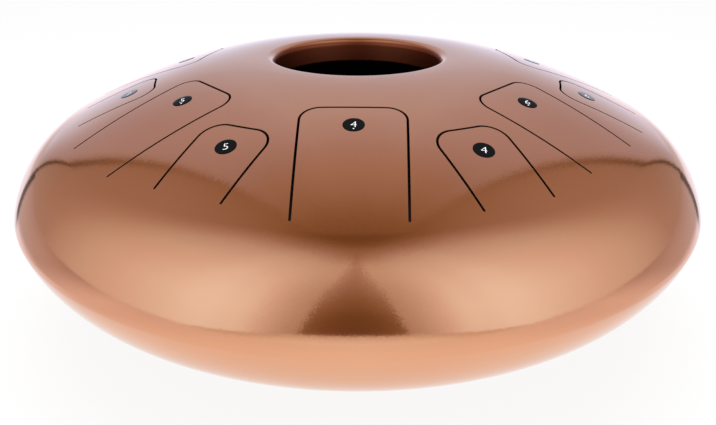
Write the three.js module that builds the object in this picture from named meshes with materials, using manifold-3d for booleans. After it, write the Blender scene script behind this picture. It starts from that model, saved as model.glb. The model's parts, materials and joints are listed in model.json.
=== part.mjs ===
// Steel tongue drum: two dished shells welded at the rim, a sound port rolled into the top,
// seven long and seven short tongues cut round it, a number label on each, four rubber feet.
// Millimetres, +Z up. The origin is on the drum's axis, on the surface that the feet stand on.
// The front, where the player sits, is -Y.
import * as THREE from 'three';
import { mergeVertices } from 'three/addons/utils/BufferGeometryUtils.js';
import Module from 'manifold-3d';

const wasm = await Module();
wasm.setup();

// The two shells, pressed to one outline of three arcs that run into each other
const drumDiameter = 355;
const sheetThickness = 1.5;
const rimBendRadius = 7.2;
const rimBendAngle = 15; // degrees above the rim's plane at which the shoulder takes over
const shoulderRadius = 51;
const shoulderAngle = 62.7; // where the shallow dome takes over

// The sound port. The dome flattens towards it, and its lip rolls over into a short neck.
const portCrestDiameter = 95.4;
const portCrownRadius = 163; // the dome's curve close to the port, up to the crest of its lip
const portRollRadius = 4.5;
const portRollAngle = 86; // how far the lip rolls past its crest
const portNeckDepth = 13; // from the crest to the neck's lower edge

// The weld that joins the rims, in a groove bevelled into both edges and ground flush
const weldHalfWidth = 1.2;
const weldRootFace = 0.5; // what the bevel leaves of each edge

// Long tongues reach nearer the port, and short ones lie between them
const slotWidth = 1.0;
const longTipFromPort = 36.9; // from the port's crest to the middle of the slot at the tip
const shortTipFromPort = 57.1;
const longTipWidth = 45.2; // between the middles of the two side slots
const longRootWidth = 42.7;
const shortTipWidth = 32.8;
const shortRootWidth = 31.6;
const longCornerRadius = 8.5;
const shortCornerRadius = 9;
const longTipArcRadius = 300; // the end of a tongue curves a little round the port
const shortTipArcRadius = 133;
const rootGap = 0.3; // the bending line at a tongue's root

// Number labels
const labelDiameter = 9.5;
const labelThickness = 0.2;
const longLabelFromTip = 14.9;
const shortLabelFromTip = 13.2;
const frontLabelFromTip = 12.9; // the front tongue's is stuck nearer its tip

// Rubber feet, glued under the lower shell
const footDiameter = 22;
const footTaper = 1.5; // less radius at the bottom than at the top
const footEdgeRadius = 2;
const footCircleRadius = 75;
const footCount = 4;
const standOff = 2.5; // how far the feet hold the lower shell off the table

const clearance = 0.3; // between pieces that are glued, welded or laid on each other

// Each tongue's length from tip to root, which tunes it: long ones, then short ones
const low4Length = 61.2;
const low6Length = 55.9;
const mid1Length = 53.6;
const mid3Length = 50.6;
const mid2Length = 52.1;
const low7Length = 55.1;
const low5Length = 60.1;
const mid4Length = 40.5;
const mid6Length = 39.2;
const high1Length = 36.4;
const high3Length = 34.4;
const high2Length = 35.4;
const mid7Length = 36.6;
const mid5Length = 38.1;

// The notes in their order round the drum, from the front towards +X. Long and short tongues
// take turns.
const notes = [
  { name: 'low_4', length: low4Length, labelFromTip: frontLabelFromTip },
  { name: 'mid_4', length: mid4Length },
  { name: 'low_6', length: low6Length },
  { name: 'mid_6', length: mid6Length },
  { name: 'mid_1', length: mid1Length },
  { name: 'high_1', length: high1Length },
  { name: 'mid_3', length: mid3Length },
  { name: 'high_3', length: high3Length },
  { name: 'mid_2', length: mid2Length },
  { name: 'high_2', length: high2Length },
  { name: 'low_7', length: low7Length },
  { name: 'mid_7', length: mid7Length },
  { name: 'low_5', length: low5Length },
  { name: 'mid_5', length: mid5Length },
];

// How finely round forms are cut into facets
const facetsPerNote = 5;
const roundFacets = facetsPerNote * notes.length;
const footFacets = 16;
const labelFacets = 12;
const cornerFacets = 4;

const lacquer = { color: 0xb87352, roughness: 0.32, metalness: 0.85 };
const vinyl = { color: 0x17191b, roughness: 0.45, metalness: 0 };
const rubber = { color: 0x1d1d1e, roughness: 0.85, metalness: 0 };

const radians = THREE.MathUtils.degToRad;
const at = (centre, radius, angle) => ({
  r: centre.r + radius * Math.cos(angle),
  z: centre.z + radius * Math.sin(angle),
});

// The outer line of a shell above the rim's plane, as arcs with the angle of their normal
function shellArcs() {
  const rimAngle = radians(rimBendAngle);
  const domeAngle = radians(shoulderAngle);
  const rim = { r: drumDiameter / 2 - rimBendRadius, z: 0 };
  const shoulder = at(rim, rimBendRadius - shoulderRadius, rimAngle);
  const domeEdge = at(shoulder, shoulderRadius, domeAngle);
  const domeRadius = domeEdge.r / Math.cos(domeAngle);
  const dome = { r: 0, z: domeEdge.z - domeRadius * Math.sin(domeAngle) };
  const crestRadius = portCrestDiameter / 2;
  const crownReach = domeRadius - portCrownRadius;
  const crown = { r: crestRadius, z: dome.z + Math.sqrt(crownReach ** 2 - crestRadius ** 2) };
  const crownAngle = Math.atan2(crown.z - dome.z, crown.r);
  const roll = { r: crestRadius, z: crown.z + portCrownRadius - portRollRadius };
  return {
    rim: { centre: rim, radius: rimBendRadius, from: 0, to: rimAngle, facets: 2 },
    shoulder: { centre: shoulder, radius: shoulderRadius, from: rimAngle, to: domeAngle, facets: 5 },
    dome: { centre: dome, radius: domeRadius, from: domeAngle, to: Math.PI / 2, facets: 4 },
    domeToPort: { centre: dome, radius: domeRadius, from: domeAngle, to: crownAngle, facets: 3 },
    crown: { centre: crown, radius: portCrownRadius, from: crownAngle, to: Math.PI / 2, facets: 2 },
    roll: {
      centre: roll,
      radius: portRollRadius,
      from: Math.PI / 2,
      to: Math.PI / 2 + radians(portRollAngle),
      facets: 4,
    },
  };
}

const arcs = shellArcs();
const domeTop = arcs.dome.centre.z + arcs.dome.radius;
const equatorHeight = domeTop + standOff;

// Points along arcs, moved outward along the normal by offset
function traceArcs(list, offset) {
  const points = [];
  for (const arc of list) {
    const first = points.length ? 1 : 0;
    for (let i = first; i <= arc.facets; i++) {
      const angle = arc.from + ((arc.to - arc.from) * i) / arc.facets;
      points.push(at(arc.centre, arc.radius + offset, angle));
    }
  }
  return points;
}

// The height of the dome's outer face above the rim's plane, and its slope there
function domeAt(radius) {
  const { centre, radius: domeRadius } = arcs.dome;
  return {
    z: centre.z + Math.sqrt(domeRadius ** 2 - radius ** 2),
    slope: Math.asin(radius / domeRadius),
  };
}

// Turn a closed outline of radius and height round the drum's axis
function turned(points, facets) {
  const outline = points.map((p) => new THREE.Vector2(Math.max(p.r, 0), p.z));
  return new THREE.LatheGeometry(outline, facets).rotateX(Math.PI / 2);
}

// A closed geometry as a solid that can be cut
function solidOf(geometry) {
  const bare = geometry.clone();
  bare.deleteAttribute('normal');
  bare.deleteAttribute('uv');
  const merged = mergeVertices(bare, 1e-4);
  const corners = Array.from(merged.index.array);
  const triangles = [];
  for (let i = 0; i < corners.length; i += 3) {
    const [a, b, c] = corners.slice(i, i + 3);
    if (a !== b && b !== c && c !== a) triangles.push(a, b, c);
  }
  return new wasm.Manifold(new wasm.Mesh({
    numProp: 3,
    vertProperties: new Float32Array(merged.attributes.position.array),
    triVerts: new Uint32Array(triangles),
  }));
}

function geometryOf(solid) {
  const { vertProperties, triVerts } = solid.getMesh();
  const geometry = new THREE.BufferGeometry();
  geometry.setAttribute('position', new THREE.BufferAttribute(vertProperties, 3));
  geometry.setIndex(new THREE.BufferAttribute(triVerts, 1));
  geometry.computeVertexNormals();
  return geometry;
}

function piece(name, geometry, finish) {
  const mesh = new THREE.Mesh(geometry, new THREE.MeshStandardMaterial(finish));
  mesh.name = name;
  return mesh;
}

// One shell's closed outline: bevelled edge, outer face, then the inner face back to the rim.
// The rim arc starts where the weld's bevel reaches the outer face.
const bevelAngle = Math.asin(weldHalfWidth / rimBendRadius);
const bevelRoot = { r: drumDiameter / 2 - (sheetThickness - weldRootFace), z: 0 };

function shellOutline(upperArcs, neckDepth = 0) {
  const outerArcs = [{ ...arcs.rim, from: bevelAngle }, arcs.shoulder, ...upperArcs];
  const innerArcs = [arcs.rim, arcs.shoulder, ...upperArcs];
  const outer = traceArcs(outerArcs, 0);
  const inner = traceArcs(innerArcs, -sheetThickness).reverse();
  const neck = neckDepth ? [neckEnd(outer, neckDepth), neckEnd(inner.slice(0, 1), neckDepth)] : [];
  return [bevelRoot, ...outer, ...neck, ...inner, bevelRoot];
}

// The neck runs straight on from the end of the roll, down to its depth under the crest
function neckEnd(line, depth) {
  const start = line[line.length - 1];
  const crestHeight = arcs.roll.centre.z + portRollRadius;
  const drop = start.z - (crestHeight - depth);
  return { r: start.r - drop / Math.tan(radians(portRollAngle)), z: start.z - drop };
}

function topShellBlank() {
  const upperArcs = [arcs.domeToPort, arcs.crown, arcs.roll];
  return solidOf(turned(shellOutline(upperArcs, portNeckDepth), roundFacets));
}

function bottomShell() {
  const line = shellOutline([arcs.dome]).reverse();
  return piece('bottom_shell', turned(line.map((p) => ({ r: p.r, z: -p.z })), roundFacets), lacquer);
}

// The weld fills the groove, its outer face following the rim, clear of the bevels by clearance
function rimWeld() {
  const grooveEdge = at(arcs.rim.centre, rimBendRadius, bevelAngle);
  const grooveDepth = grooveEdge.r - bevelRoot.r;
  const halfAngle = Math.atan2(grooveEdge.z, grooveDepth);
  const rootRadius = bevelRoot.r + clearance / Math.sin(halfAngle);
  const faceAngle = bevelAngle * (1 - clearance / Math.sin(halfAngle) / grooveDepth);
  const face = { ...arcs.rim, from: -faceAngle, to: faceAngle, facets: 2 };
  const root = { r: rootRadius, z: 0 };
  return piece('rim_weld', turned([root, ...traceArcs([face], 0), root], roundFacets), lacquer);
}

// Where one note's tongue lies. Distances run outward along its middle line from the drum's axis.
function tonguePlan(note, index) {
  const long = index % 2 === 0;
  const tip = portCrestDiameter / 2 + (long ? longTipFromPort : shortTipFromPort);
  const labelFromTip = note.labelFromTip ?? (long ? longLabelFromTip : shortLabelFromTip);
  return {
    ...note,
    turn: (index / notes.length) * 2 * Math.PI - Math.PI / 2,
    tip,
    root: tip + note.length,
    tipHalfWidth: (long ? longTipWidth : shortTipWidth) / 2,
    rootHalfWidth: (long ? longRootWidth : shortRootWidth) / 2,
    corner: long ? longCornerRadius : shortCornerRadius,
    tipArc: long ? longTipArcRadius : shortTipArcRadius,
    label: tip + labelFromTip,
  };
}

// The slot's middle line moved outward by grow, closed at the root: two straight sides and
// an end that curves round the port, with round corners where they meet
function tongueShape(plan, grow, rootEnd) {
  const taper = (plan.tipHalfWidth - plan.rootHalfWidth) / (plan.root - plan.tip);
  const side = new THREE.Vector2(taper, 1).normalize();
  const alongSide = new THREE.Vector2(side.y, -side.x);
  const sideReach = (plan.tipHalfWidth + taper * plan.tip) * side.y + grow;
  const endRadius = plan.tipArc - grow;
  const endCentre = new THREE.Vector2(plan.tip - plan.tipArc, 0);
  const corner = plan.corner + grow;

  // The corner's centre lies corner inside the side, and corner outside the end's arc
  const foot = side.clone().multiplyScalar(sideReach - corner).sub(endCentre);
  const lead = foot.dot(alongSide);
  const reach = endRadius + corner;
  const step = -lead + Math.sqrt(lead ** 2 - foot.lengthSq() + reach ** 2);
  const centre = foot.addScaledVector(alongSide, step).add(endCentre);

  const sideTurn = side.angle();
  const endTurn = Math.atan2(centre.y, centre.x - endCentre.x);
  const rootHalfWidth = (sideReach - rootEnd * side.x) / side.y;
  const shape = new THREE.Shape();
  shape.moveTo(rootEnd, -rootHalfWidth);
  shape.lineTo(rootEnd, rootHalfWidth);
  shape.absarc(centre.x, centre.y, corner, sideTurn, endTurn + Math.PI, false);
  shape.absarc(endCentre.x, endCentre.y, endRadius, endTurn, -endTurn, true);
  shape.absarc(centre.x, -centre.y, corner, Math.PI - endTurn, 2 * Math.PI - sideTurn, false);
  return shape;
}

// An upright block of a tongue's shape, turned to its place round the drum
function tongueBlock(plan, grow, rootEnd) {
  const block = new THREE.ExtrudeGeometry(tongueShape(plan, grow, rootEnd), {
    depth: domeTop,
    bevelEnabled: false,
    curveSegments: cornerFacets,
  });
  return solidOf(block.rotateZ(plan.turn));
}

const plans = notes.map(tonguePlan);

function topShell(blank) {
  let shell = blank;
  for (const plan of plans) {
    shell = shell.subtract(tongueBlock(plan, slotWidth / 2, plan.root + rootGap));
  }
  return piece('top_shell', geometryOf(shell), lacquer);
}

function tongue(plan, blank) {
  const cut = blank.intersect(tongueBlock(plan, -slotWidth / 2, plan.root));
  return piece(`tongue_${plan.name}`, geometryOf(cut), lacquer);
}

// A thin disc laid square on the dome near the tongue's tip
function label(plan) {
  const disc = new THREE.CylinderGeometry(
    labelDiameter / 2, labelDiameter / 2, labelThickness, labelFacets,
  ).rotateX(Math.PI / 2);
  const { z, slope } = domeAt(plan.label);
  const mesh = piece(`label_${plan.name}`, disc, vinyl);
  const lift = clearance + labelThickness / 2;
  mesh.position.set(plan.label + lift * Math.sin(slope), 0, z + lift * Math.cos(slope));
  mesh.rotation.y = slope;
  const spoke = new THREE.Group();
  spoke.rotation.z = plan.turn;
  spoke.add(mesh);
  return spoke;
}

// A foot as turned, standing on the table, before the shell's shape is taken out of its top
function footBlank() {
  const top = footDiameter / 2;
  const bottom = top - footTaper;
  const edge = { r: bottom - footEdgeRadius, z: footEdgeRadius };
  const round = { centre: edge, radius: footEdgeRadius, from: -Math.PI / 2, to: 0, facets: 3 };
  const height = equatorHeight - domeAt(footCircleRadius + top).z;
  const points = [{ r: 0, z: 0 }, ...traceArcs([round], 0), { r: top, z: height }, { r: 0, z: height }];
  const blank = turned(points, footFacets);
  return solidOf(blank.translate(footCircleRadius, 0, -equatorHeight));
}

function feet() {
  const arcsOfDome = [arcs.shoulder, arcs.dome];
  const domeLine = traceArcs(arcsOfDome, clearance).reverse().map((p) => ({ r: p.r, z: -p.z }));
  const rim = domeLine[domeLine.length - 1];
  const dome = solidOf(turned([...domeLine, { r: 0, z: rim.z }], roundFacets));
  const shape = geometryOf(footBlank().subtract(dome));
  const ring = new THREE.Group();
  for (let i = 0; i < footCount; i++) {
    const spoke = new THREE.Group();
    spoke.rotation.z = ((i + 0.5) / footCount) * 2 * Math.PI;
    spoke.add(piece(`foot_${i + 1}`, shape, rubber));
    ring.add(spoke);
  }
  return ring;
}

const blank = topShellBlank();
const drum = new THREE.Group();
drum.position.z = equatorHeight;
drum.add(topShell(blank), bottomShell(), rimWeld(), feet());
for (const plan of plans) {
  drum.add(tongue(plan, blank), label(plan));
}

const group = new THREE.Group();
group.add(drum);
export default group;
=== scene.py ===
import json
import math

import bmesh
import bpy
import numpy as np
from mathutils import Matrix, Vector
from mathutils.geometry import delaunay_2d_cdt


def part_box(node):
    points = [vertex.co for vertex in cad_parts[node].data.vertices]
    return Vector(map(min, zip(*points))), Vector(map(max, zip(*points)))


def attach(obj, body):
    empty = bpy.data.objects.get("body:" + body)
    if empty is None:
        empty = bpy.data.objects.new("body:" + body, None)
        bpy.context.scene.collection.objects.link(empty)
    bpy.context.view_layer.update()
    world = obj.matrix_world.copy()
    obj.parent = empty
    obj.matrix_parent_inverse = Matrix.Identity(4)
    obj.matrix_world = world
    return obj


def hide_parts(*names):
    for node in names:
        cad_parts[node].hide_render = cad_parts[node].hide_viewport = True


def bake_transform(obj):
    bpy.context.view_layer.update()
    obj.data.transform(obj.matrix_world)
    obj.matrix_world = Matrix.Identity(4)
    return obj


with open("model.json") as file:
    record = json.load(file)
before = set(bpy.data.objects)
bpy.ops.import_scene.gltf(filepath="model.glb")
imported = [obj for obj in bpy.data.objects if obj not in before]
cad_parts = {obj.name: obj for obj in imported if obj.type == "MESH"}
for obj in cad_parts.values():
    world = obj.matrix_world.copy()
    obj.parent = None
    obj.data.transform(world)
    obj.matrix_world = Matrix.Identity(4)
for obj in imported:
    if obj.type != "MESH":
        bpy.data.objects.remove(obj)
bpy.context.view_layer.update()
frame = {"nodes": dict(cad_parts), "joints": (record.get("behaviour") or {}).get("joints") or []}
weldLow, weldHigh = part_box("rim_weld")
equator = (weldLow.z + weldHigh.z) / 2  # height of the rim's plane
print("frame loaded,", len(frame["nodes"]), "nodes, equator at", round(equator, 5))

# Shared tools


def place(tree, kind, values=None, **settings):
    # a node with its settings; values go to its sockets, and a socket given as a value is linked
    node = tree.nodes.new(kind)
    for key, value in settings.items():
        setattr(node, key, value)
    for key, value in (values or {}).items():
        if isinstance(value, bpy.types.NodeSocket):
            tree.links.new(value, node.inputs[key])
        else:
            node.inputs[key].default_value = value
    return node


def calculate(tree, operation, *values):
    node = place(tree, "ShaderNodeMath", dict(enumerate(values)), operation=operation)
    return node.outputs[0]


def product(tree, first, *others):
    for other in others:
        first = calculate(tree, "MULTIPLY", first, other)
    return first


def vectorNode(tree, operation, *values, **named):
    node = place(tree, "ShaderNodeVectorMath", dict(enumerate(values)) | named, operation=operation)
    return node.outputs["Value" if operation == "LENGTH" else "Vector"]


def mixColours(tree, factor, first, second, blend="MIX"):
    # each colour is a socket or three numbers
    values = {0: factor}
    for key, colour in ((6, first), (7, second)):
        values[key] = colour if isinstance(colour, bpy.types.NodeSocket) else (*colour, 1)
    return place(tree, "ShaderNodeMix", values, data_type="RGBA", blend_type=blend).outputs[2]


def rampNode(tree, factor, stops):
    # stops are (position, grey or colour) pairs
    node = place(tree, "ShaderNodeValToRGB", {"Fac": factor})
    elements = node.color_ramp.elements
    while len(elements) < len(stops):
        elements.new(0.5)
    for element, (position, colour) in zip(elements, stops):
        element.position = position
        rgb = (colour,) * 3 if isinstance(colour, (int, float)) else colour
        element.color = (*rgb, 1)
    return node.outputs["Color"]


def tableNode(tree, value, stops):
    # a number read from a table of (position, number) stops
    first, last = stops[0][0], stops[-1][0]
    top = max(number for _, number in stops)
    offset = calculate(tree, "SUBTRACT", value, first)
    factor = calculate(tree, "DIVIDE", offset, last - first)
    ramp = rampNode(tree, factor, [((p - first) / (last - first), v / top) for p, v in stops])
    return calculate(tree, "MULTIPLY", ramp, top)


def stepNode(tree, value, start, end, low=0.0, high=1.0):
    # a smooth step of a value; every setting may be a number or a socket
    values = {"Value": value, "From Min": start, "From Max": end, "To Min": low, "To Max": high}
    return place(tree, "ShaderNodeMapRange", values, interpolation_type="SMOOTHSTEP").outputs[0]


def objectPlace(tree):
    return place(tree, "ShaderNodeTexCoord").outputs["Object"]


def newMaterial(name):
    material = bpy.data.materials.new(name)
    material.use_nodes = True
    tree = material.node_tree
    tree.nodes.clear()
    return material, tree


def addShader(tree, kind, values):
    # the shader that ends a material
    shader = place(tree, kind, values)
    place(tree, "ShaderNodeOutputMaterial", {"Surface": shader.outputs[0]})


def linked(obj):
    bpy.context.scene.collection.objects.link(obj)
    return obj


# The pressing: arcs from the rim to the dome and on to the port, whose lip rolls into a neck

shellForm = {
    "radius": 0.1775,
    "sheet": 0.0015,
    "rimBend": 0.0072,
    "rimAngle": 15.0,
    "shoulderBend": 0.051,
    "shoulderAngle": 62.7,
    "portCrest": 0.0477,
    "portCrown": 0.163,  # the dome's curve close to the port
    "portRoll": 0.0045,
    "rollAngle": 86.0,  # how far the lip rolls past its crest
    "neckDepth": 0.013,  # from the crest to the neck's lower edge
    "weldHalf": 0.0012,
    "weldRoot": 0.0005,
    "around": 280,  # steps round the drum, a multiple of fourteen
    # steps along each arc, on the outer and on the inner face
    "steps": {"rim": (2, 4), "shoulder": (16, 16), "dome": (24, 24), "crown": (8, 6), "roll": (30, 20)},
    "sheetEndSteps": 8,
    "weldSteps": 4,
    "plateFrom": 0.078,  # the band with the tongues starts here
    "plateSteps": 27,
    "windowReach": 0.06,  # a tongue's window lies within this distance of its middle
    "windowGap": 0.0009,  # the band's own points keep this far from the windows
}


def arcPoint(arc, angle, offset=0.0):
    reach = arc["radius"] + offset
    return arc["r"] + reach * math.cos(angle), arc["z"] + reach * math.sin(angle)


def newArc(r, z, radius, start=0.0, end=0.0):
    return {"r": r, "z": z, "radius": radius, "start": start, "end": end}


def shellArcs(form):
    rimAngle, domeAngle = math.radians(form["rimAngle"]), math.radians(form["shoulderAngle"])
    crest, crownRadius, top = form["portCrest"], form["portCrown"], math.pi / 2
    rim = newArc(form["radius"] - form["rimBend"], 0.0, form["rimBend"], 0.0, rimAngle)
    shoulderMiddle = arcPoint(rim, rimAngle, -form["shoulderBend"])
    shoulder = newArc(*shoulderMiddle, form["shoulderBend"], rimAngle, domeAngle)
    edgeR, edgeZ = arcPoint(shoulder, domeAngle)
    domeRadius = edgeR / math.cos(domeAngle)
    dome = newArc(0.0, edgeZ - domeRadius * math.sin(domeAngle), domeRadius, domeAngle, top)
    crownZ = dome["z"] + math.sqrt((domeRadius - crownRadius) ** 2 - crest**2)
    crown = newArc(crest, crownZ, crownRadius, math.atan2(crownZ - dome["z"], crest), top)
    rollZ = crownZ + crownRadius - form["portRoll"]
    roll = newArc(crest, rollZ, form["portRoll"], top, top + math.radians(form["rollAngle"]))
    return {"rim": rim, "shoulder": shoulder, "dome": dome, "crown": crown, "roll": roll}


arcs = shellArcs(shellForm)
sheet = shellForm["sheet"]
plateTo = arcPoint(arcs["dome"], arcs["dome"]["start"])[0]  # the dome's edge
bevelAngle = math.asin(shellForm["weldHalf"] / shellForm["rimBend"])
weldRoot = shellForm["radius"] - (sheet - shellForm["weldRoot"])
bevelRow = (weldRoot, 0.0, 0.7, -0.7)  # the inner end of the upper edge's bevel, with its normal
lacquered, insideFace, cutShadeFace = 0, 1, 2  # material slots of the sheets


def arcRows(arc, start, end, steps, offset=0.0):
    # points along an arc with their normals, which point into the drum on the inner face
    side = -1 if offset < 0 else 1
    rows = []
    for i in range(steps + 1):
        angle = start + (end - start) * i / steps
        r, z = arcPoint(arc, angle, offset)
        rows.append((r, z, side * math.cos(angle), side * math.sin(angle)))
    return rows


def shellRows(name, start, end, inner=False):
    outerSteps, innerSteps = shellForm["steps"][name]
    if inner:
        return arcRows(arcs[name], start, end, innerSteps, -sheet)
    return arcRows(arcs[name], start, end, outerSteps)


def neckRows(offset=0.0):
    # the straight neck under the roll, down to where the sheet's rounded end starts
    roll = arcs["roll"]
    side = -1 if offset < 0 else 1
    across, up = math.cos(roll["end"]), math.sin(roll["end"])
    r, z = arcPoint(roll, roll["end"], offset)
    drop = z - (roll["z"] + roll["radius"] - shellForm["neckDepth"] + sheet / 2)
    lower = r - drop * up / -across, z - drop
    return [(*point, side * across, side * up) for point in ((r, z), lower)]


def standing(rows, side=1):
    # rows of the pressing at their height in the drum; side is -1 for the lower shell
    return [(max(r, 0.0), equator + side * z, n, side * up) for r, z, n, up in rows]


def faceAt(r, offset=0.0, upper="crown"):
    # height over the rim's plane and the normal, outward and upward, from the shoulder inward
    height, slopeR = np.zeros_like(r), np.zeros_like(r)
    for name in ("shoulder", "dome", upper):
        arc = arcs[name]
        reach = arc["radius"] + offset
        slope = np.clip((r - arc["r"]) / reach, -1, 1)
        here = r <= arcPoint(arc, arc["start"], offset)[0]
        slopeR = np.where(here, slope, slopeR)
        height = np.where(here, arc["z"] + reach * np.sqrt(1 - slope**2), height)
    return height, slopeR, np.sqrt(1 - slopeR**2)


# Mesh building

mergeDistance = 1e-6
planTolerance = 1e-9
sliverArea = 1e-10


def newBuild():
    return {"points": [], "normals": [], "faces": [], "slots": [], "count": 0}


def addPart(build, points, normals, faces, slot=0):
    first = build["count"]
    build["points"].append(np.asarray(points, float).reshape(-1, 3))
    build["normals"].append(np.asarray(normals, float).reshape(-1, 3))
    build["faces"] += [[first + i for i in face] for face in faces]
    build["slots"] += [slot] * len(faces)
    build["count"] += len(build["points"][-1])


def addFlatShaded(build, points, faces):
    # for pieces whose shading Blender works out by itself
    addPart(build, points, np.zeros((len(points), 3)), faces)


def gridFaces(rows, columns, around=False):
    # quads between neighbouring rows of points; around joins the last column to the first
    faces = []
    for j in range(rows - 1):
        for i in range(columns if around else columns - 1):
            k = (i + 1) % columns
            faces.append([j * columns + i, j * columns + k, (j + 1) * columns + k, (j + 1) * columns + i])
    return faces


def addTurned(build, rows, slot=0, steps=shellForm["around"]):
    # rows of (radius, height, normal out, normal up) turned round the drum's axis
    turn = np.radians(-90 + 360 * np.arange(steps) / steps)
    cos, sin = np.cos(turn), np.sin(turn)
    points = [np.stack([r * cos, r * sin, np.full(steps, z)], 1) for r, z, _, _ in rows]
    normals = [np.stack([n * cos, n * sin, np.full(steps, up)], 1) for _, _, n, up in rows]
    addPart(build, np.concatenate(points), np.concatenate(normals), gridFaces(len(rows), steps, True), slot)


def finishPiece(build, name, materials, smoothAngle=None):
    # one closed mesh; its shading follows the true form, so that neighbouring pieces read as one sheet
    mesh = bpy.data.meshes.new(name)
    mesh.from_pydata(np.concatenate(build["points"]).tolist(), [], build["faces"])
    shade = mesh.attributes.new("shade", "FLOAT_VECTOR", "POINT")
    shade.data.foreach_set("vector", np.concatenate(build["normals"]).ravel())
    mesh.polygons.foreach_set("material_index", build["slots"])
    bm = bmesh.new()
    bm.from_mesh(mesh)
    bmesh.ops.remove_doubles(bm, verts=bm.verts, dist=mergeDistance)
    bmesh.ops.recalc_face_normals(bm, faces=bm.faces)
    openEdges = sum(1 for e in bm.edges if len(e.link_faces) != 2)
    bm.to_mesh(mesh)
    bm.free()
    mesh.polygons.foreach_set("use_smooth", [True] * len(mesh.polygons))
    normals = np.zeros(len(mesh.vertices) * 3, np.float32)
    mesh.attributes["shade"].data.foreach_get("vector", normals)
    mesh.attributes.remove(mesh.attributes["shade"])
    if smoothAngle is None:
        mesh.normals_split_custom_set_from_vertices(normals.reshape(-1, 3))
    else:
        mesh.set_sharp_from_angle(angle=math.radians(smoothAngle))
    for material in materials:
        mesh.materials.append(material)
    if openEdges:
        print("  open edges in", name, openEdges)
    return linked(bpy.data.objects.new(name, mesh))


# Tongues

tongueForm = {
    "slot": 0.0010,
    "edge": 0.00012,  # rounding of the painted edges
    "edgeSteps": 4,
    "cornerSteps": 14,
    "slotEndSteps": 8,  # round the slots' ends at the root
    "spacing": 0.0022,  # of the points along the slot
    "gridSpacing": 1.3,  # of the points inside, in spacings
    "gridGap": 0.45,  # how far these keep from the outline, in their own spacing
    "rootLine": 0.00015,  # the hinge's axis lies this far behind the root
    "bendOver": 0.015,  # a struck tongue bends over this length
    "long": {
        "tip": 0.0846,
        "tipHalf": 0.0226,
        "rootHalf": 0.02135,
        "corner": 0.0085,
        "tipArc": 0.3,
    },
    "short": {
        "tip": 0.1048,
        "tipHalf": 0.0164,
        "rootHalf": 0.0158,
        "corner": 0.009,
        "tipArc": 0.133,
    },
}


def tonguePlans():
    # each tongue's place, from the axis that it springs on in the frame
    plans = []
    count = len(frame["joints"])
    for joint in frame["joints"]:
        x, y, _ = joint["pos_m"]
        seat = round((math.atan2(y, x) + math.pi / 2) / (2 * math.pi) * count) % count
        kind = "short" if seat % 2 else "long"
        form = tongueForm[kind]
        plans.append(
            {
                "note": joint["child"].replace("tongue_", ""),
                "body": joint["child"],
                "turn": -math.pi / 2 + seat * 2 * math.pi / count,
                "root": math.hypot(x, y) - tongueForm["rootLine"],
                "form": form,
                "label": form["tip"] + labelForm["fromTip"][kind],
            }
        )
    return plans


def pieceName(kind, plan):
    return kind + plan["note"].replace("_", "").capitalize()


def slotStations(plan):
    # (u, v, normal u, normal v) along the slot's middle line, from the root on one side round
    # the tip to the other; u runs outward from the drum's axis, and the normal leaves the tongue
    form, root = plan["form"], plan["root"]
    tip, corner, endRadius = form["tip"], form["corner"], form["tipArc"]
    spacing, cornerSteps = tongueForm["spacing"], tongueForm["cornerSteps"]
    taper = (form["tipHalf"] - form["rootHalf"]) / (root - tip)
    length = math.hypot(taper, 1)
    sideU, sideV = taper / length, 1 / length
    reach = (form["tipHalf"] + taper * tip) * sideV
    endU = tip - endRadius

    # the corner's arc touches the side and the arc across the tip
    footU, footV = sideU * (reach - corner) - endU, sideV * (reach - corner)
    lead = footU * sideV - footV * sideU
    step = -lead + math.sqrt(lead**2 - footU**2 - footV**2 + (endRadius + corner) ** 2)
    centreU, centreV = footU + sideV * step + endU, footV - sideU * step
    sideTurn = math.atan2(sideV, sideU)
    endTurn = math.atan2(centreV, centreU - endU)
    rootV = (reach - root * sideU) / sideV
    touchU, touchV = centreU + corner * sideU, centreV + corner * sideV

    half = []
    count = math.ceil((root - touchU) / spacing)
    for i in range(count):
        share = i / count
        half.append((root + (touchU - root) * share, rootV + (touchV - rootV) * share, sideU, sideV))
    for i in range(cornerSteps + 1):
        angle = sideTurn + (endTurn + math.pi - sideTurn) * i / cornerSteps
        c, s = math.cos(angle), math.sin(angle)
        half.append((centreU + corner * c, centreV + corner * s, c, s))
    count = math.ceil(endRadius * endTurn / spacing)
    for i in range(1, count + 1):
        angle = endTurn * (1 - i / count)
        c, s = math.cos(angle), math.sin(angle)
        half.append((endU + endRadius * c, endRadius * s, -c, -s))
    mirrored = [(u, -v, nu, -nv) for u, v, nu, nv in half[-2::-1]]
    return np.array(half + mirrored)


def windowStations(stations):
    # the same line for the shell, with the rounded ends of the slots at the roots
    steps = tongueForm["slotEndSteps"]
    u, v, nu, nv = stations[0]
    caps = []
    for sign in (1, -1):
        first = math.atan2(-nv, -sign * nu)
        cap = []
        for i in range(steps + 1):
            angle = first + math.pi * i / steps
            cap.append((u, sign * v, math.cos(angle), math.sin(angle)))
        caps.append(cap)
    return np.array(caps[0][:-1] + stations.tolist() + caps[1][1:])


def turnedPlan(plan, u, v):
    c, s = math.cos(plan["turn"]), math.sin(plan["turn"])
    return u * c - v * s, u * s + v * c


def sheetPoints(x, y, inner=False):
    # points and normals on the outer or inner face above plan points
    r = np.hypot(x, y)
    height, slopeR, slopeZ = faceAt(r, -sheet if inner else 0.0)
    side = -1 if inner else 1
    points = np.stack([x, y, height + equator], -1)
    normals = side * np.stack([slopeR * x / r, slopeR * y / r, slopeZ], -1)
    return points, normals


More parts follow.
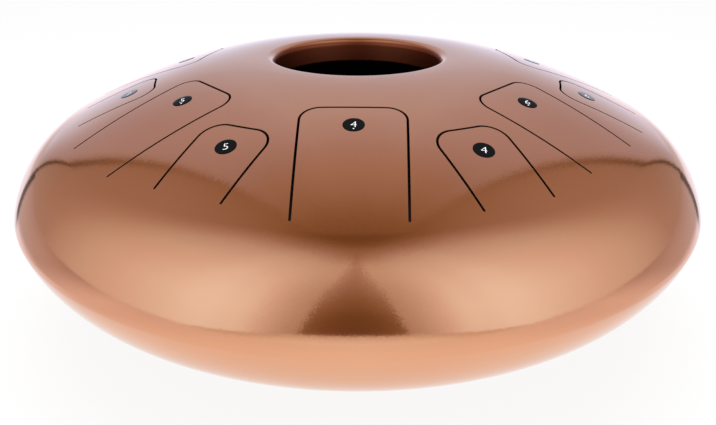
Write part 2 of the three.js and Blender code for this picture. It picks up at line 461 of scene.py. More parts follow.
def addSlotWall(build, plan, stations, side):
    # the cut edge through the sheet with both its roundings; side is 1 for the shell and -1 for
    # the tongue. Gives the plan points of its outermost row and the two end columns.
    edge, steps = tongueForm["edge"], tongueForm["edgeSteps"]
    u, v, nu, nv = stations.T
    points, normals = [], []
    rows = [(k, False) for k in range(steps + 1)] + [(k, True) for k in range(steps, -1, -1)]
    for k, inner in rows:
        angle = k / steps * math.pi / 2
        reach = side * (tongueForm["slot"] / 2 + edge * (1 - math.sin(angle)))
        x, y = turnedPlan(plan, u + nu * reach, v + nv * reach)
        face, faceNormal = sheetPoints(x, y, inner)
        face[:, 2] += (1 if inner else -1) * edge * (1 - math.cos(angle))
        wallX, wallY = turnedPlan(plan, -side * nu, -side * nv)
        wall = np.stack([wallX, wallY, np.zeros_like(wallX)], -1)
        points.append(face)
        normals.append(math.cos(angle) * faceNormal + math.sin(angle) * wall)
    # the lacquer ends on the outer rounding, and the cut below it is near black: painted shade for the
    # narrow slot
    faces = gridFaces(len(rows), len(u))
    painted = steps // 2 * (len(u) - 1)
    for slot, part in ((lacquered, faces[:painted]), (cutShadeFace, faces[painted:])):
        addPart(build, np.concatenate(points), np.concatenate(normals), part, slot)
    reach = side * (tongueForm["slot"] / 2 + edge)
    outline = np.stack([u + nu * reach, v + nv * reach], -1)
    columns = [([row[i] for row in points], [row[i] for row in normals]) for i in (0, -1)]
    return outline, columns


def rootLine(plan, stations):
    # plan points across the root between both slots, without the ends, in the sense of +v
    edge = tongueForm["slot"] / 2 + tongueForm["edge"]
    u, v, nu, nv = stations[0]
    endU, endV = u - nu * edge, v - nv * edge
    count = math.ceil(2 * endV / tongueForm["spacing"])
    across = np.linspace(-endV, endV, count + 1)[1:-1]
    return np.stack([np.full_like(across, endU), across], -1)


def addRootWall(build, plan, line, columns):
    # the hidden cross-section at the root, one flat face
    x, y = turnedPlan(plan, line[:, 0], line[:, 1])
    outer, outerNormals = sheetPoints(x, y)
    inner, innerNormals = sheetPoints(x, y, True)
    (firstPoints, firstNormals), (lastPoints, lastNormals) = columns
    # line runs from the last column's side to the first column's side
    points = [*outer, *firstPoints, *inner[::-1], *lastPoints[::-1]]
    normals = [*outerNormals, *firstNormals, *innerNormals[::-1], *lastNormals[::-1]]
    addPart(build, points, normals, [list(range(len(points)))])


def insideOutline(points, outline):
    # which points lie inside a closed outline, by counting crossings
    x, y = points[:, 0:1], points[:, 1:2]
    x1, y1 = outline[:, 0], outline[:, 1]
    x2, y2 = np.roll(x1, -1), np.roll(y1, -1)
    crosses = (y1 > y) != (y2 > y)
    with np.errstate(divide="ignore", invalid="ignore"):
        at = x1 + (y - y1) / (y2 - y1) * (x2 - x1)
    return (crosses & (x < at)).sum(1) % 2 == 1


def nearOutline(points, outline, distance):
    ends = np.roll(outline, -1, 0)
    along = ends - outline
    offset = points[:, None, :] - outline[None]
    share = np.clip((offset * along).sum(-1) / (along**2).sum(-1), 0, 1)
    gap = np.linalg.norm(offset - share[..., None] * along, axis=-1)
    return gap.min(1) < distance


def fillPlan(points, loops):
    # triangles over plan points that keep to the closed loops
    edges = [(loop[i - 1], loop[i]) for loop in loops for i in range(len(loop))]
    # the fourth list names each point's number before the call
    result = delaunay_2d_cdt([Vector(p) for p in points.tolist()], edges, [], 0, planTolerance)
    back = [origin[0] for origin in result[3]]
    triangles = np.array([[back[i] for i in face] for face in result[2]])
    # slivers along the straight sides have no area and are left out
    a, b, c = (points[triangles[:, k]] for k in range(3))
    area = (b[:, 0] - a[:, 0]) * (c[:, 1] - a[:, 1]) - (b[:, 1] - a[:, 1]) * (c[:, 0] - a[:, 0])
    triangles = triangles[np.abs(area) > sliverArea]
    return triangles, points[triangles].mean(1)


def addSheetFaces(build, points, triangles):
    for inner in (False, True):
        surface, normals = sheetPoints(points[:, 0], points[:, 1], inner)
        addPart(build, surface, normals, triangles.tolist(), insideFace if inner else lacquered)


def makeTongue(plan, materials):
    build = newBuild()
    stations = slotStations(plan)
    outline, columns = addSlotWall(build, plan, stations, -1)
    line = rootLine(plan, stations)
    loop = np.concatenate([outline, line])
    low, high = loop.min(0), loop.max(0)
    spacing = tongueForm["spacing"] * tongueForm["gridSpacing"]
    gridU, gridV = np.meshgrid(np.arange(low[0], high[0], spacing), np.arange(low[1], high[1], spacing))
    grid = np.stack([gridU.ravel(), gridV.ravel()], -1)
    grid = grid[insideOutline(grid, loop) & ~nearOutline(grid, loop, spacing * tongueForm["gridGap"])]
    points = np.concatenate([loop, grid])
    triangles, middles = fillPlan(points, [list(range(len(loop)))])
    triangles = triangles[insideOutline(middles, loop)]
    world = np.stack(turnedPlan(plan, points[:, 0], points[:, 1]), -1)
    addSheetFaces(build, world, triangles)
    addRootWall(build, plan, line, columns)
    piece = finishPiece(build, pieceName("tongue", plan), materials)
    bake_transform(piece)
    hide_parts(plan["body"])


# Shells


def addPort(build):
    # inner face, rounded sheet end, outer face
    crown, roll = arcs["crown"], arcs["roll"]
    fromCrown = shellForm["plateFrom"] - crown["r"]
    innerFrom = math.acos(fromCrown / (crown["radius"] - sheet))
    outerFrom = math.acos(fromCrown / crown["radius"])
    innerNeck, outerNeck = neckRows(-sheet), neckRows()
    inner = shellRows("crown", innerFrom, crown["end"], True)[:-1]
    inner += shellRows("roll", roll["start"], roll["end"], True)[:-1] + innerNeck
    endR, endZ = ((innerNeck[1][k] + outerNeck[1][k]) / 2 for k in (0, 1))
    sheetEnd = newArc(endR, endZ, sheet / 2)
    end = arcRows(sheetEnd, roll["end"] + math.pi, roll["end"], shellForm["sheetEndSteps"])
    outer = [outerNeck[1]] + shellRows("roll", roll["end"], roll["start"])[:-1]
    outer += shellRows("crown", crown["end"], outerFrom)
    addTurned(build, standing([innerNeck[1]] + end[1:-1] + outer), lacquered)
    addTurned(build, standing(inner), insideFace)


def addShoulder(build):
    # outer face, weld bevel, inner face
    rim, shoulder = arcs["rim"], arcs["shoulder"]
    outer = shellRows("shoulder", shoulder["end"], shoulder["start"])[:-1]
    outer += shellRows("rim", rim["end"], bevelAngle)
    _, innerSlope, _ = faceAt(np.array(plateTo), -sheet)
    inner = shellRows("rim", 0.0, rim["end"], True)[:-1]
    inner += shellRows("shoulder", shoulder["start"], math.acos(float(innerSlope)), True)
    addTurned(build, standing(outer), lacquered)
    addTurned(build, standing([outer[-1], bevelRow, inner[0]]), insideFace)
    addTurned(build, standing(inner), insideFace)


def addPlate(build, plans):
    # the band between port and shoulder, with a window for each tongue
    around, steps = shellForm["around"], shellForm["plateSteps"]
    plateFrom = shellForm["plateFrom"]
    turn = np.radians(-90 + 360 * np.arange(around) / around)
    radii = np.linspace(plateFrom, plateTo, steps + 1)
    grid = np.stack([np.outer(radii, np.cos(turn)), np.outer(radii, np.sin(turn))], -1).reshape(-1, 2)
    rings = [list(range(around)), list(range(steps * around, (steps + 1) * around))]
    windows, walls = [], []
    for plan in plans:
        stations = slotStations(plan)
        outline, columns = addSlotWall(build, plan, windowStations(stations), 1)
        line = rootLine(plan, stations)
        loop = np.concatenate([outline, line])
        windows.append(np.stack(turnedPlan(plan, loop[:, 0], loop[:, 1]), -1))
        walls.append((plan, line, columns))
    keep = np.ones(len(grid), bool)
    for window in windows:
        close = np.linalg.norm(grid - window.mean(0), axis=1) < shellForm["windowReach"]
        keep[close] &= ~insideOutline(grid[close], window)
        keep[close] &= ~nearOutline(grid[close], window, shellForm["windowGap"])
    keep[rings[0] + rings[1]] = True
    renumber = np.cumsum(keep) - 1
    loops = [[int(renumber[i]) for i in ring] for ring in rings]
    points = grid[keep]
    for window in windows:
        loops.append(list(range(len(points), len(points) + len(window))))
        points = np.concatenate([points, window])
    triangles, middles = fillPlan(points, loops)
    good = np.linalg.norm(middles, axis=1) > plateFrom
    for window in windows:
        close = np.linalg.norm(middles - window.mean(0), axis=1) < shellForm["windowReach"]
        good[close] &= ~insideOutline(middles[close], window)
    addSheetFaces(build, points, triangles[good])
    for wall in walls:
        addRootWall(build, *wall)


def makeTopShell(plans, materials):
    build = newBuild()
    addPort(build)
    addShoulder(build)
    addPlate(build, plans)
    piece = finishPiece(build, "topShell", materials)
    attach(piece, "drum")
    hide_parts("top_shell")


def makeBottomShell(materials):
    build = newBuild()
    rim, shoulder, dome = (arcs[k] for k in ("rim", "shoulder", "dome"))
    faces = []
    for inner, rimFrom in ((False, bevelAngle), (True, 0.0)):
        rows = shellRows("rim", rimFrom, rim["end"], inner)[:-1]
        rows += shellRows("shoulder", shoulder["start"], shoulder["end"], inner)[:-1]
        faces.append(rows + shellRows("dome", dome["start"], dome["end"], inner))
    outer, inner = faces
    addTurned(build, standing(outer, -1), lacquered)
    addTurned(build, standing([outer[0], bevelRow, inner[0]], -1), insideFace)
    addTurned(build, standing(inner, -1), insideFace)
    piece = finishPiece(build, "bottomShell", materials)
    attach(piece, "drum")
    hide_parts("bottom_shell")


def makeRimWeld(material):
    # the weld, ground flush with both shells and painted over
    build = newBuild()
    face = arcRows(arcs["rim"], -bevelAngle, bevelAngle, shellForm["weldSteps"])
    root = (weldRoot, 0.0, -1.0, 0.0)
    for rows in (face, [face[-1], root], [root, face[0]]):
        addTurned(build, standing(rows))
    piece = finishPiece(build, "rimWeld", [material])
    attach(piece, "drum")
    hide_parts("rim_weld")


# Number labels: a vinyl disc that follows the dome, and its printed number

labelForm = {
    "radius": 0.0046,
    "thickness": 0.00014,
    "edge": 0.00005,
    "edgeSteps": 3,
    "rings": 4,
    "around": 64,
    "smoothAngle": 50,
    "fromTip": {"long": 0.0149, "short": 0.0132},
    # stuck on by hand: how far to the right and towards the port, seen from the rim
    "shift": {
        "low_4": (0.0003, 0.0020),
        "mid_4": (0.0009, -0.0006),
        "low_6": (0.0002, 0.0002),
        "low_5": (-0.0011, -0.0002),
        "mid_5": (0.0002, 0.0006),
    },
}


def labelAxes(plan):
    # the label's middle as a direction from the dome's centre, with the ways right and up on it
    shiftRight, shiftIn = labelForm["shift"].get(plan["note"], (0.0, 0.0))
    x, y = turnedPlan(plan, plan["label"] - shiftIn, shiftRight)
    centre = Vector((0, 0, equator + arcs["dome"]["z"]))
    slope = math.asin(math.hypot(x, y) / arcs["dome"]["radius"])
    normal = Vector((x, y, 0)).normalized() * math.sin(slope) + Vector((0, 0, math.cos(slope)))
    # all numbers stand upright for the player, who sits on the side of low_4
    up = Vector((0, 1, 0)) - normal * normal.y
    up.normalize()
    return centre, normal, up.cross(normal), up


def onDome(axes, x, y, height):
    # a point x to the right of and y above the label's middle, at a height over the dome
    centre, normal, right, up = axes
    radius = arcs["dome"]["radius"]
    way = (normal + right * (x / radius) + up * (y / radius)).normalized()
    return centre + way * (radius + height)


def ringOnDome(axes, reach, height, steps, above=0.0):
    turn = [2 * math.pi * i / steps for i in range(steps)]
    return [onDome(axes, reach * math.cos(a), above + reach * math.sin(a), height) for a in turn]


def makeLabel(plan, axes, material):
    build = newBuild()
    radius, thickness, edge = (labelForm[k] for k in ("radius", "thickness", "edge"))
    steps, edgeSteps, count = (labelForm[k] for k in ("around", "edgeSteps", "rings"))
    rings = [(radius * k / count, 0.0) for k in range(count + 1)]
    for k in range(edgeSteps + 1):
        angle = k / edgeSteps * math.pi / 2
        rings.append((radius - edge * (1 - math.cos(angle)), thickness - edge * (1 - math.sin(angle))))
    rings += [((radius - edge) * k / count, thickness) for k in range(count - 1, -1, -1)]
    points = [point for reach, height in rings for point in ringOnDome(axes, reach, height, steps)]
    addFlatShaded(build, points, gridFaces(len(rings), steps, True))
    piece = finishPiece(build, pieceName("label", plan), [material], labelForm["smoothAngle"])
    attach(piece, plan["body"])
    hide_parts("label_" + plan["note"])


numberForm = {
    "height": 0.0039,
    "bold": -0.016,  # the printed strokes are thinner than the font's
    "curveSteps": 5,
    "up": 0.0002,  # the middle of a digit with a dot, from the label's middle
    "ink": 0.00002,
    "dotRadius": 0.00033,
    "dotFromDigit": 0.0011,
    "dotSteps": 20,
    "smoothAngle": 40,
}


def digitMesh(digit):
    # a number as a flat solid, one unit high, centred
    curve = bpy.data.curves.new("digit", "FONT")
    curve.body = digit
    curve.size = 1
    curve.extrude = 0.5
    curve.offset = numberForm["bold"]
    curve.resolution_u = numberForm["curveSteps"]
    shown = linked(bpy.data.objects.new("digit", curve))
    bpy.context.view_layer.update()
    mesh = bpy.data.meshes.new_from_object(shown.evaluated_get(bpy.context.evaluated_depsgraph_get()))
    points = np.array([v.co for v in mesh.vertices])
    faces = [list(p.vertices) for p in mesh.polygons]
    bpy.data.objects.remove(shown)
    low, high = points.min(0), points.max(0)
    points[:, :2] = (points[:, :2] - (low[:2] + high[:2]) / 2) / (high[1] - low[1])
    return points, faces


def makeNumber(plan, axes, material):
    # a dot under the digit stands for the low octave, and one over it for the high octave
    octave, digit = plan["note"].split("_")
    dotSide = {"low": -1, "mid": 0, "high": 1}[octave]
    build = newBuild()
    height, ink, base = numberForm["height"], numberForm["ink"], labelForm["thickness"]
    middle = -dotSide * numberForm["up"]
    points, faces = digitMesh(digit)
    laid = []
    for x, y, z in points:
        laid.append(onDome(axes, x * height, middle + y * height, base + (ink if z > 0 else -ink)))
    addFlatShaded(build, laid, faces)
    if dotSide:
        above = middle + dotSide * (height / 2 + numberForm["dotFromDigit"])
        radius, steps = numberForm["dotRadius"], numberForm["dotSteps"]
        laid = []
        for reach, lift in ((0, -ink), (radius, -ink), (radius, ink), (0, ink)):
            laid += ringOnDome(axes, reach, base + lift, steps, above)
        addFlatShaded(build, laid, gridFaces(4, steps, True))
    piece = finishPiece(build, pieceName("number", plan), [material], numberForm["smoothAngle"])
    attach(piece, plan["body"])


# Rubber feet

footForm = {
    "top": 0.011,
    "bottom": 0.0095,
    "edge": 0.002,
    "around": 64,
    "edgeSteps": 6,
    "bottomRings": 3,
    "sideRings": 4,
    "topRings": 4,
    "smoothAngle": 35,
}


def makeFoot(node, material):
    low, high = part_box(node)
    cx, cy = (low.x + high.x) / 2, (low.y + high.y) / 2
    build = newBuild()
    steps, edge, bottom, top = (footForm[k] for k in ("around", "edge", "bottom", "top"))
    edgeSteps, bottomRings, sideRings, topRings = (
        footForm[k] for k in ("edgeSteps", "bottomRings", "sideRings", "topRings")
    )
    turn = 2 * math.pi * np.arange(steps) / steps
    cos, sin = np.cos(turn), np.sin(turn)

    def shellOver(reach):
        x, y = cx + reach * cos, cy + reach * sin
        return equator - faceAt(np.hypot(x, y), upper="dome")[0]

    rings = [((bottom - edge) * k / bottomRings, np.zeros(steps)) for k in range(bottomRings + 1)]
    for k in range(1, edgeSteps + 1):
        angle = k / edgeSteps * math.pi / 2
        rings.append((bottom - edge * (1 - math.sin(angle)), np.full(steps, edge * (1 - math.cos(angle)))))
    for k in range(1, sideRings + 1):
        reach = bottom + (top - bottom) * k / sideRings
        rings.append((reach, edge + (shellOver(top) - edge) * k / sideRings))
    rings += [(top * k / topRings, shellOver(top * k / topRings)) for k in range(topRings - 1, -1, -1)]
    points = np.concatenate([np.stack([cx + r * cos, cy + r * sin, z], 1) for r, z in rings])
    addFlatShaded(build, points, gridFaces(len(rings), steps, True))
    piece = finishPiece(build, node.replace("_", ""), [material], footForm["smoothAngle"])
    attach(piece, "drum")
    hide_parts(node)


# Finishes


def grainGroup():
    # fine surface texture: a height for bump, and a mask of soft patches
    tree = bpy.data.node_groups.new("surfaceGrain", "ShaderNodeTree")
    face = tree.interface
    for name, value in (("Grain Size", 0.0005), ("Patch Size", 0.02)):
        socket = face.new_socket(name, in_out="INPUT", socket_type="NodeSocketFloat")
        socket.default_value = value
    for name in ("Height", "Patches"):
        face.new_socket(name, in_out="OUTPUT", socket_type="NodeSocketFloat")
    given = place(tree, "NodeGroupInput")
    where = objectPlace(tree)
    sizes = [calculate(tree, "DIVIDE", 1.0, given.outputs[k]) for k in range(2)]
    grain = place(tree, "ShaderNodeTexNoise", {"Vector": where, "Scale": sizes[0], "Detail": 2.0})
    patches = place(tree, "ShaderNodeTexNoise", {"Vector": where, "Scale": sizes[1], "Detail": 3.0})
    place(tree, "NodeGroupOutput", {0: grain.outputs["Fac"], 1: patches.outputs["Fac"]})
    return tree


surfaceGrain = grainGroup()


def grainIn(tree, finish):
    node = place(tree, "ShaderNodeGroup", node_tree=surfaceGrain)
    node.inputs["Grain Size"].default_value = finish["grain"]
    node.inputs["Patch Size"].default_value = finish["patches"]
    return node


lacquerFinish = {
    "copper": (0.80, 0.405, 0.238),
    "copperShade": (0.77, 0.388, 0.226),
    "neckCopper": (0.23, 0.06, 0.028),  # painted shade: dark brown down the port's neck, where shade falls
    "neckRoughness": 0.4,
    "neck": (0.0437, 0.0448),  # from the drum's axis: painted shade within the first, full lacquer from the second
    "roughness": 0.09,
    "coatWeight": 0.25,
    "coatRoughness": 0.02,
    "flakeSize": 0.0004,
    "flakeTilt": 0.014,
    "grain": 0.0004,
    "patches": 0.03,
}


def lacquerMaterial():
    # copper metallic lacquer: fine flakes under a clear coat
    finish = lacquerFinish
    material, tree = newMaterial("copperLacquer")
    grain = grainIn(tree, finish)
    where = objectPlace(tree)
    flakes = place(tree, "ShaderNodeTexVoronoi", {"Vector": where, "Scale": 1 / finish["flakeSize"]})
    # each flake's random colour becomes its tilt
    tilt = vectorNode(tree, "ADD", flakes.outputs["Color"], (-0.5, -0.5, -0.5))
    tilt = vectorNode(tree, "SCALE", tilt, Scale=finish["flakeTilt"])
    normal = place(tree, "ShaderNodeNewGeometry").outputs["Normal"]
    normal = vectorNode(tree, "NORMALIZE", vectorNode(tree, "ADD", normal, tilt))
    colour = mixColours(tree, grain.outputs["Patches"], finish["copperShade"], finish["copper"])

    # the neck is the part close to the axis, above the rim; it gets a painted shade in dark brown, and is
    # rougher and without coat
    height = place(tree, "ShaderNodeSeparateXYZ", {0: where}).outputs[2]
    fromAxis = vectorNode(tree, "LENGTH", vectorNode(tree, "MULTIPLY", where, (1, 1, 0)))
    neck = stepNode(tree, fromAxis, *finish["neck"], 1.0, 0.0)
    neck = product(tree, neck, calculate(tree, "GREATER_THAN", height, equator))
    rougher = finish["neckRoughness"] - finish["roughness"]
    coat = finish["coatWeight"]
    values = {
        "Base Color": mixColours(tree, neck, colour, finish["neckCopper"]),
        "Metallic": 1.0,
        "Roughness": calculate(tree, "MULTIPLY_ADD", neck, rougher, finish["roughness"]),
        "Coat Weight": calculate(tree, "MULTIPLY_ADD", neck, -coat, coat),
        "Coat Roughness": finish["coatRoughness"],
        "Normal": normal,
    }
    addShader(tree, "ShaderNodeBsdfPrincipled", values)
    return material


def grainedColour(tree, finish):
    # the colour in soft patches, the grain's bump, and the mask of the patches
    grain = grainIn(tree, finish)
    patches = grain.outputs["Patches"]
    values = {"Strength": finish["bump"], "Distance": finish["depth"], "Height": grain.outputs["Height"]}
    bump = place(tree, "ShaderNodeBump", values).outputs[0]
    return mixColours(tree, patches, finish["colour"], finish["worn"]), bump, patches


insideFinish = {
    "colour": (0.045, 0.045, 0.048),
    "worn": (0.06, 0.06, 0.064),
    "roughness": 0.55,
    "grain": 0.0008,
    "patches": 0.04,
    "bump": 0.2,
    "depth": 0.0001,
}


def insideMaterial():
    # the drum's inside, near black
    material, tree = newMaterial("blackInside")
    colour, bump, _ = grainedColour(tree, insideFinish)
    values = {"Base Color": colour, "Roughness": insideFinish["roughness"], "Normal": bump}
    addShader(tree, "ShaderNodeBsdfPrincipled", values)
    return material


vinylFinish = {
    "colour": (0.003, 0.004, 0.0045),
    "worn": (0.005, 0.006, 0.0065),
    "roughness": 0.5,
    "shine": 0.05,
    "film": (0.62, 0.78),  # at a flat angle the vinyl's film shines
    "filmRoughness": 0.15,
    "filmIor": 2.5,
    "grain": 0.0002,
    "patches": 0.004,
    "bump": 0.15,
    "depth": 0.0002,
}


def vinylMaterial():
    material, tree = newMaterial("blackVinyl")
    colour, bump, _ = grainedColour(tree, vinylFinish)
    flat = place(tree, "ShaderNodeLayerWeight", {"Blend": 0.5}).outputs["Facing"]
    values = {
        "Base Color": colour,
        "Roughness": vinylFinish["roughness"],
        "Specular IOR Level": vinylFinish["shine"],
        "Coat Weight": stepNode(tree, flat, *vinylFinish["film"]),
        "Coat Roughness": vinylFinish["filmRoughness"],
        "Coat IOR": vinylFinish["filmIor"],
        "Normal": bump,
    }
    addShader(tree, "ShaderNodeBsdfPrincipled", values)
    return material


printFinish = {
    "colour": (0.80, 0.82, 0.82),
    "worn": (0.86, 0.87, 0.87),
    "roughness": 0.5,
    "shine": 0.3,
    "grain": 0.0001,
    "patches": 0.002,
    "bump": 0.1,
    "depth": 0.0001,
}

rubberFinish = {
    "colour": (0.016, 0.016, 0.017),
    "worn": (0.024, 0.024, 0.025),
    "roughness": 0.82,
    "shine": 0.5,
    "grain": 0.0003,
    "patches": 0.006,
    "bump": 0.5,
    "depth": 0.0003,
}

# painted shade: the slots' cut walls in near black, where shade falls down the narrow slots
slotShadeFinish = {
    "colour": (0.012, 0.005, 0.003),
    "worn": (0.022, 0.009, 0.006),
    "roughness": 0.6,
    "shine": 0.1,
    "grain": 0.0002,
    "patches": 0.003,
    "bump": 0.2,
    "depth": 0.0002,
}


def plainMaterial(name, finish):
    # a grained finish whose roughness varies a little with its patches
    vary = 0.05
    material, tree = newMaterial(name)
    colour, bump, patches = grainedColour(tree, finish)
    rough = {"Value": patches, "To Min": finish["roughness"] - vary, "To Max": finish["roughness"] + vary}
    values = {
        "Base Color": colour,
        "Roughness": place(tree, "ShaderNodeMapRange", rough).outputs[0],
        "Specular IOR Level": finish["shine"],
        "Normal": bump,
    }
    addShader(tree, "ShaderNodeBsdfPrincipled", values)
    return material


# The studio's tent of white cloth: two lit panels with an opening for the camera, and a pale back.
# A table's first numbers are degrees round from the camera's side or over the horizon, if no note
# says otherwise.

tentForm = {
    "radius": 15.0,
    "rings": 24,
    "around": 96,
    "strength": 1.4,
    "turn": 1.2,  # the tent's middle, towards +X
    "gapTurn": 0.0,  # the opening's middle
    # brightness round the tent: two lit panels, dim sides, pale back
    "round": [
        (0, 0.98), (38, 0.98), (45, 1.02), (52, 1.0), (60, 0.94), (75, 0.85), (90, 0.725), (100, 0.605),
        (110, 0.49), (120, 0.415), (130, 0.38), (134.7, 0.35), (137, 0.46), (145, 0.465), (155, 0.5),
        (165, 0.55), (180, 0.55),
    ],
    # how the panels fade upward, and the weak light of the tent's top
    "upward": [
        (0, 0.98), (24, 1.0), (36, 0.96), (48, 0.88), (54, 0.81), (60, 0.73), (66, 0.63), (72, 0.485),
        (78, 0.275), (81, 0.185), (85, 0.07), (90, 0.02),
    ],
    "topLight": [
        (0, 0.0), (24, 0.02), (48, 0.05), (60, 0.08), (66, 0.1), (72, 0.12), (78, 0.14), (85, 0.165),
        (90, 0.17),
    ],
    # the opening by height: half its width, the light in it and just beside it
    "gapHalf": [
        (0, 15.3), (8, 15.0), (30, 12.0), (45, 10.4), (54, 8.6), (60, 7.2), (66, 5.2), (72, 3.0),
        (78, 0.5), (90, 0.5),
    ],
    "gapLight": [
        (0, 0.17), (18, 0.17), (24, 0.18), (36, 0.25), (48, 0.37), (60, 0.53), (66, 0.6), (72, 0.5),
        (78, 0.35), (85, 0.6), (90, 0.6),
    ],
    "gapBeside": [
        (0, 0.54), (24, 0.55), (36, 0.58), (48, 0.66), (60, 0.82), (66, 0.86), (70, 0.83), (73, 0.75),
        (77, 0.78), (81, 0.95), (86, 1.0), (90, 1.0),
    ],
    "gapRise": 0.6,  # it is brighter towards its sides
    "gapEdge": 1.0,
    "gapTo": 36.0,  # the panels are at their full light from here
    # the white sheet that hangs up in front: its top edge, and its light by depth under that edge
    "sheetTop": [(0, 8.5), (13, 8.0), (20, 7.2), (30, 4.5), (50, 0.0), (180, 0.0)],
    "sheetSoft": 0.3,
    "sheetLight": [(0, 0.66), (4, 0.88), (9, 0.98)],
    "sheetTint": (1.0, 0.94, 0.88),
    # the dark seam, and the pale cool light behind it
    "seam": 134.7,
    "seamWidth": (0.36, 0.96),
    "seamFade": [
        (0, 1.0), (6, 0.97), (12, 0.88), (18, 0.75), (30, 0.5), (45, 0.35), (58, 0.2), (68, 0.0), (90, 0.0),
    ],
    "seamLight": 0.08,
    "backFrom": 11.0,  # behind the seam
    "backLow": [
        (0, 0.34), (5, 0.23), (12, 0.1), (18, 0.02), (26, -0.02), (48, 0.03), (60, 0.0), (90, 0.0),
    ],
    "backAside": (108.0, 124.0),
    "backAsideLight": 0.25,
    "backTint": (0.99, 1.11, 1.4),
    "backTintFrom": 3.0,
    "backTintUp": (54.0, 68.0),
    # the panels are cooler further up
    "highTint": (1.0, 1.03, 1.075),
    "highFrom": (10.0, 25.0),
    "highTo": (106.0, 120.0),
    "highUp": (34.0, 60.0),
    # tint by brightness: dark parts are warm
    "tint": [
        (0.0, (0.0, 0.0, 0.0)), (0.2, (0.2, 0.108, 0.05)), (0.31, (0.31, 0.2, 0.12)),
        (0.38, (0.38, 0.27, 0.215)), (0.49, (0.49, 0.38, 0.34)), (0.6, (0.6, 0.535, 0.5)),
        (0.72, (0.72, 0.685, 0.675)), (0.845, (0.845, 0.83, 0.835)), (0.94, (0.94, 1.02, 1.075)),
        (1.02, (1.02, 1.18, 1.29)), (1.2, (1.2, 1.3, 1.4)),
    ],
}


def roundAndUp(tree, where, middle):
    # degrees round from a middle, without sign, and degrees over the horizon
    way = vectorNode(tree, "NORMALIZE", where)
    axis = place(tree, "ShaderNodeSeparateXYZ", {0: way})
    x, y, z = (axis.outputs[k] for k in range(3))
    toDegrees = 180 / math.pi
    turned = product(tree, calculate(tree, "ARCTAN2", x, product(tree, y, -1.0)), toDegrees)
    turned = calculate(tree, "ABSOLUTE", calculate(tree, "SUBTRACT", turned, middle))
    return turned, product(tree, calculate(tree, "ARCSINE", z), toDegrees)


def tentMaterial():
    form = tentForm
    material, tree = newMaterial("tentLight")
    where = objectPlace(tree)
    turned, up = roundAndUp(tree, where, form["turn"])
    fromGap, _ = roundAndUp(tree, where, form["gapTurn"])

    # the panels with the opening between them
    half = tableNode(tree, up, form["gapHalf"])
    share = calculate(tree, "DIVIDE", fromGap, half)
    within = calculate(tree, "MULTIPLY_ADD", product(tree, share, share), form["gapRise"], 1.0)
    within = product(tree, within, tableNode(tree, up, form["gapLight"]))
    beside = stepNode(tree, fromGap, half, form["gapTo"], tableNode(tree, up, form["gapBeside"]), 1.0)
    outer = calculate(tree, "ADD", half, form["gapEdge"])
    gap = stepNode(tree, fromGap, half, outer, within, beside)
    light = product(tree, tableNode(tree, turned, form["round"]), gap, tableNode(tree, up, form["upward"]))
    light = calculate(tree, "ADD", light, tableNode(tree, up, form["topLight"]))

    # light low at the back, and the seam
    seam = form["seam"]
    behind = stepNode(tree, turned, seam, seam + form["backFrom"])
    aside = stepNode(tree, turned, *form["backAside"], 0.0, form["backAsideLight"])
    behind = calculate(tree, "MAXIMUM", behind, aside)
    light = calculate(tree, "MULTIPLY_ADD", tableNode(tree, up, form["backLow"]), behind, light)
    fromSeam = calculate(tree, "ABSOLUTE", calculate(tree, "SUBTRACT", turned, seam))
    dark = stepNode(tree, fromSeam, *form["seamWidth"], 1.0, 0.0)
    dark = product(tree, dark, tableNode(tree, up, form["seamFade"]))
    light = product(tree, light, calculate(tree, "MULTIPLY_ADD", dark, form["seamLight"] - 1.0, 1.0))

    # the white sheet in front
    below = calculate(tree, "SUBTRACT", tableNode(tree, turned, form["sheetTop"]), up)
    onSheet = stepNode(tree, below, -form["sheetSoft"], form["sheetSoft"])
    light = stepNode(tree, onSheet, 0.0, 1.0, light, tableNode(tree, below, form["sheetLight"]))

    # tints
    strength = form["strength"]
    stops = [(v / strength, [c / strength for c in rgb]) for v, rgb in form["tint"]]
    colour = rampNode(tree, calculate(tree, "DIVIDE", light, strength), stops)
    colour = mixColours(tree, onSheet, colour, form["sheetTint"], "MULTIPLY")
    high = stepNode(tree, turned, *form["highFrom"])
    high = product(tree, high, stepNode(tree, turned, *form["highTo"], 1.0, 0.0))
    high = product(tree, high, stepNode(tree, up, *form["highUp"]))
    colour = mixColours(tree, high, colour, form["highTint"], "MULTIPLY")
    back = stepNode(tree, turned, seam, seam + form["backTintFrom"])
    back = product(tree, back, stepNode(tree, up, *form["backTintUp"], 1.0, 0.0))
    colour = mixColours(tree, back, colour, form["backTint"], "MULTIPLY")
    addShader(tree, "ShaderNodeEmission", {"Color": colour, "Strength": strength})
    return material


def makeTent():
    # a dome of cloth round the table, lit from outside; the camera looks through it
    build = newBuild()
    radius, rings = tentForm["radius"], tentForm["rings"]
    angles = [k / rings * math.pi / 2 for k in range(rings + 1)]
    rows = [(radius * math.cos(angle), radius * math.sin(angle), 0, -1) for angle in angles]
    addTurned(build, rows, steps=tentForm["around"])
    mesh = bpy.data.meshes.new("tent")
    mesh.from_pydata(np.concatenate(build["points"]).tolist(), [], build["faces"])
    mesh.materials.append(tentMaterial())
    tent = linked(bpy.data.objects.new("tent", mesh))
    tent.visible_camera = False
